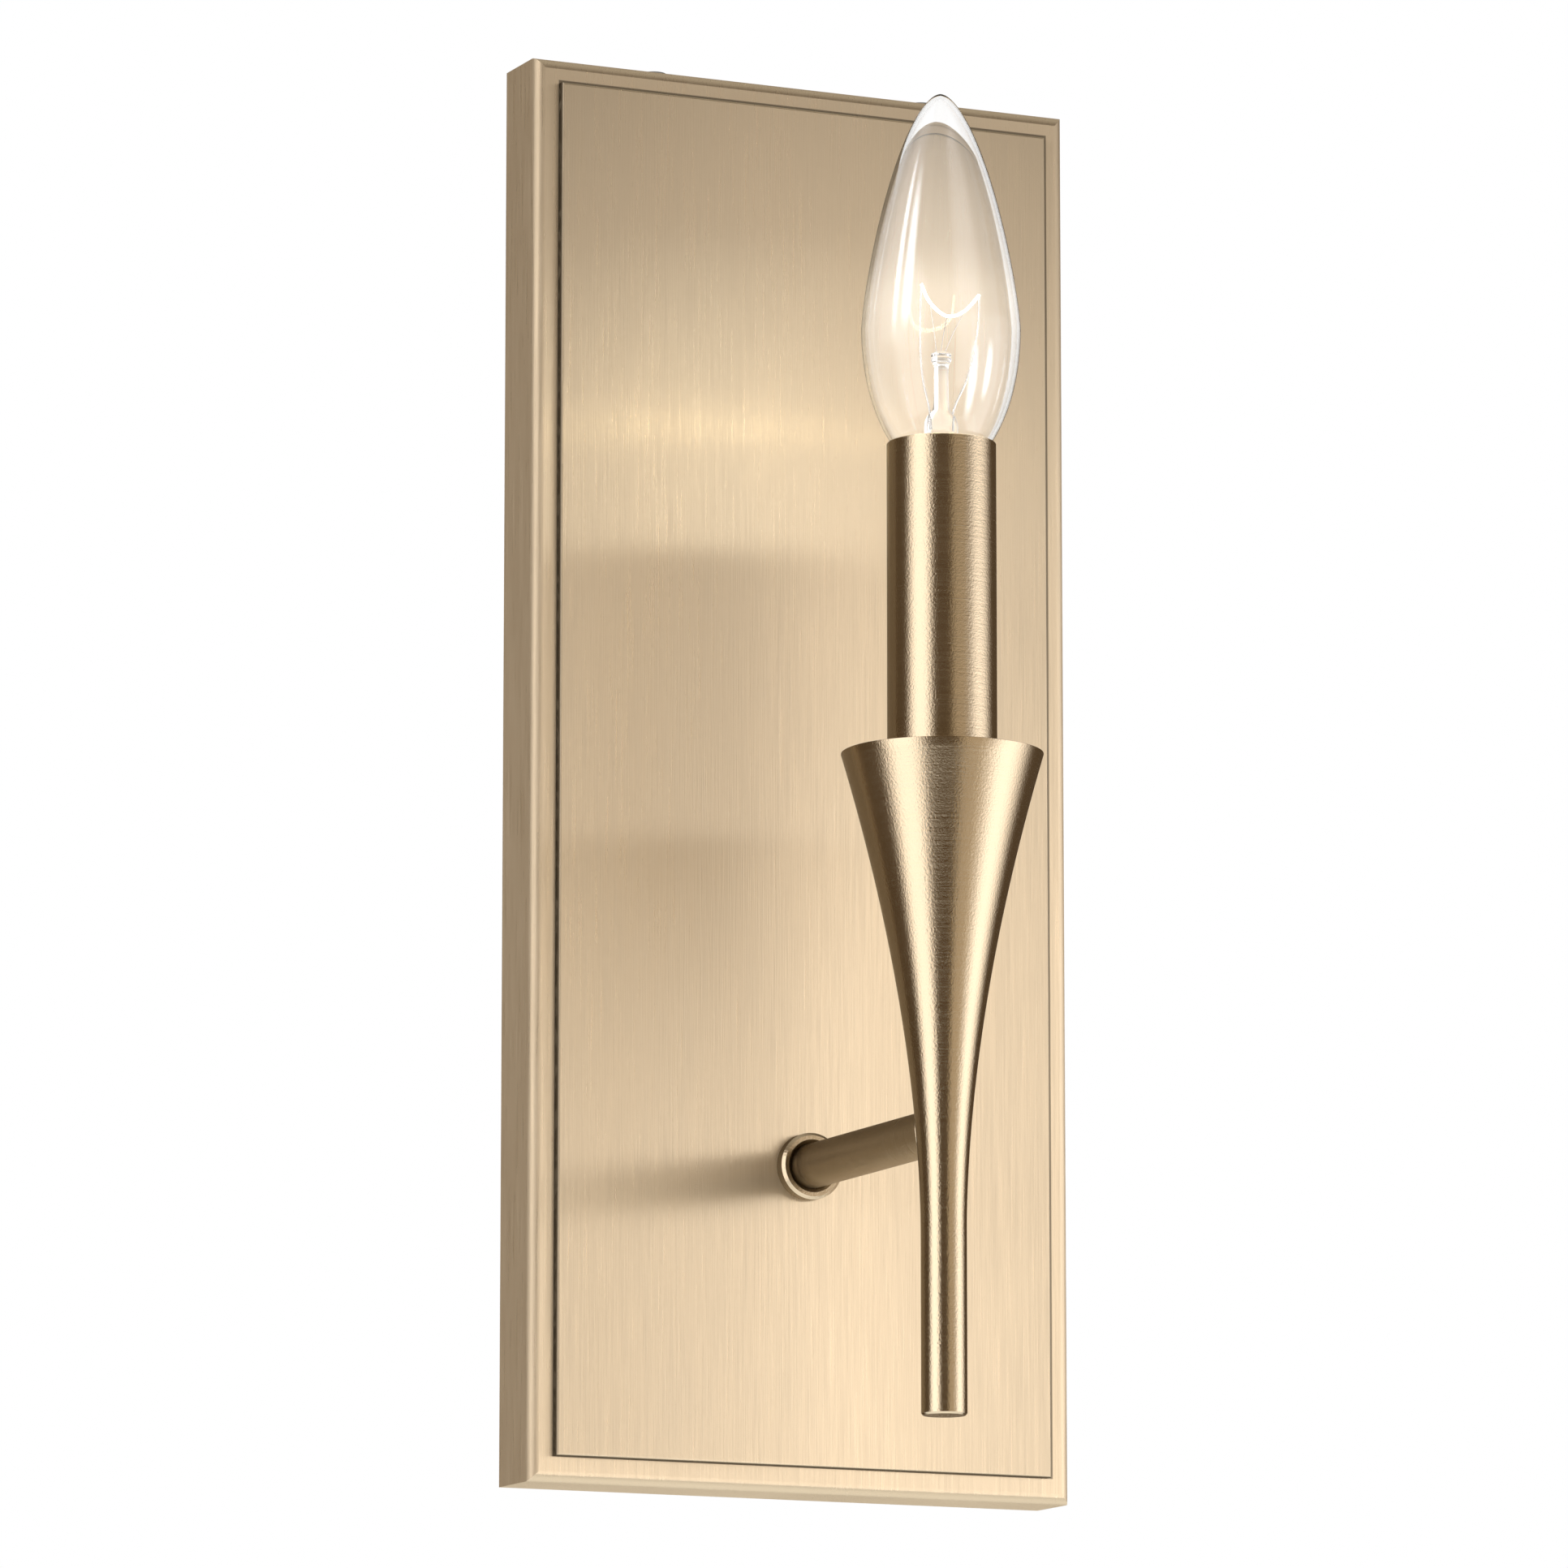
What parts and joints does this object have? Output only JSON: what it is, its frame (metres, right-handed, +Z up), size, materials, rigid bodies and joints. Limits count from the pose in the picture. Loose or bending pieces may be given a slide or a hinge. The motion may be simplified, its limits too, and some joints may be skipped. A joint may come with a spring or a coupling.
{
  "type": "wall sconce",
  "caption": "Wall sconce with a stepped rectangular back plate, a level arm, and a trumpet-shaped candle holder with a metal candle sleeve and a clear candelabra lamp.",
  "frame": {"origin": "centre of the two box-screw slots in the wall strap, in the plane of the wall", "axes": "+X to the right as the viewer faces the wall, +Y into the wall, +Z up; the candle stands at -Y"},
  "size_m": [0.126, 0.1049, 0.3062],
  "materials": {
    "satin_bronze": "satin, brushed",
    "zinc_steel": "zinc plated",
    "green_screw": "green dye over zinc",
    "socket_phenolic": "moulded",
    "contact_brass": "plain",
    "clear_glass": "clear, polished",
    "black_vitrite": "glassy",
    "support_wire": "drawn",
    "tungsten": "glowing",
    "wire_black": "extruded",
    "wire_white": "extruded",
    "wire_green": "extruded",
    "connector_orange": "moulded"
  },
  "bodies": {
    "wall_strap": {"box_strap": "zinc_steel", "pivot_nipple": "zinc_steel", "pivot_nut": "zinc_steel", "ground_screw": "green_screw"},
    "fixture": {"hanger_bar": "zinc_steel", "lock_screws": "zinc_steel", "back_plate": "satin_bronze", "plate_hooks": "zinc_steel", "face_panel": "satin_bronze", "panel_studs": "zinc_steel", "panel_nuts": "zinc_steel", "arm_collar": "satin_bronze", "arm_tube": "satin_bronze", "arm_washer": "zinc_steel", "ground_terminal": "zinc_steel", "arm_nut": "zinc_steel", "trumpet_shell": "satin_bronze", "center_tube": "zinc_steel", "seat_disc": "satin_bronze", "seat_nut": "zinc_steel", "socket_cap": "zinc_steel", "socket_body": "socket_phenolic", "socket_shell": "contact_brass", "socket_contact": "contact_brass", "socket_rivets": "zinc_steel", "live_lead": "wire_black", "neutral_lead": "wire_white", "ground_lead": "wire_green", "wire_nuts": "connector_orange"},
    "sleeve": {"candle_sleeve": "satin_bronze"},
    "lamp_screw": {"lamp_base": "contact_brass", "lamp_insulator": "black_vitrite", "lamp_contact": "contact_brass"},
    "lamp_bulb": {"lamp_glass": "clear_glass", "lamp_stem": "clear_glass", "lamp_wires": "support_wire", "lamp_filament": "tungsten"}
  },
  "joints": [
    {"name": "level_swivel", "type": "hinge", "parent": "wall_strap", "child": "fixture", "pos_m": [0, 0, 0], "axis": [0, 1, 0], "range_deg": [-12, 12]},
    {"name": "sleeve_turn", "type": "hinge", "parent": "fixture", "child": "sleeve", "pos_m": [0, -0.0838, 0.03], "axis": [0, 0, 1], "continuous": true},
    {"name": "lamp_lift", "type": "slide", "parent": "fixture", "child": "lamp_screw", "axis": [0, 0, 1], "range_m": [0, 0.0127]},
    {"name": "lamp_turn", "type": "hinge", "parent": "lamp_screw", "child": "lamp_bulb", "pos_m": [0, -0.0838, 0.05], "axis": [0, 0, 1], "range_deg": [0, 1800]}
  ],
  "couplings": [
    {"joint": "lamp_lift", "follows": "lamp_turn", "m_per_rad": 0.00040425}
  ]
}
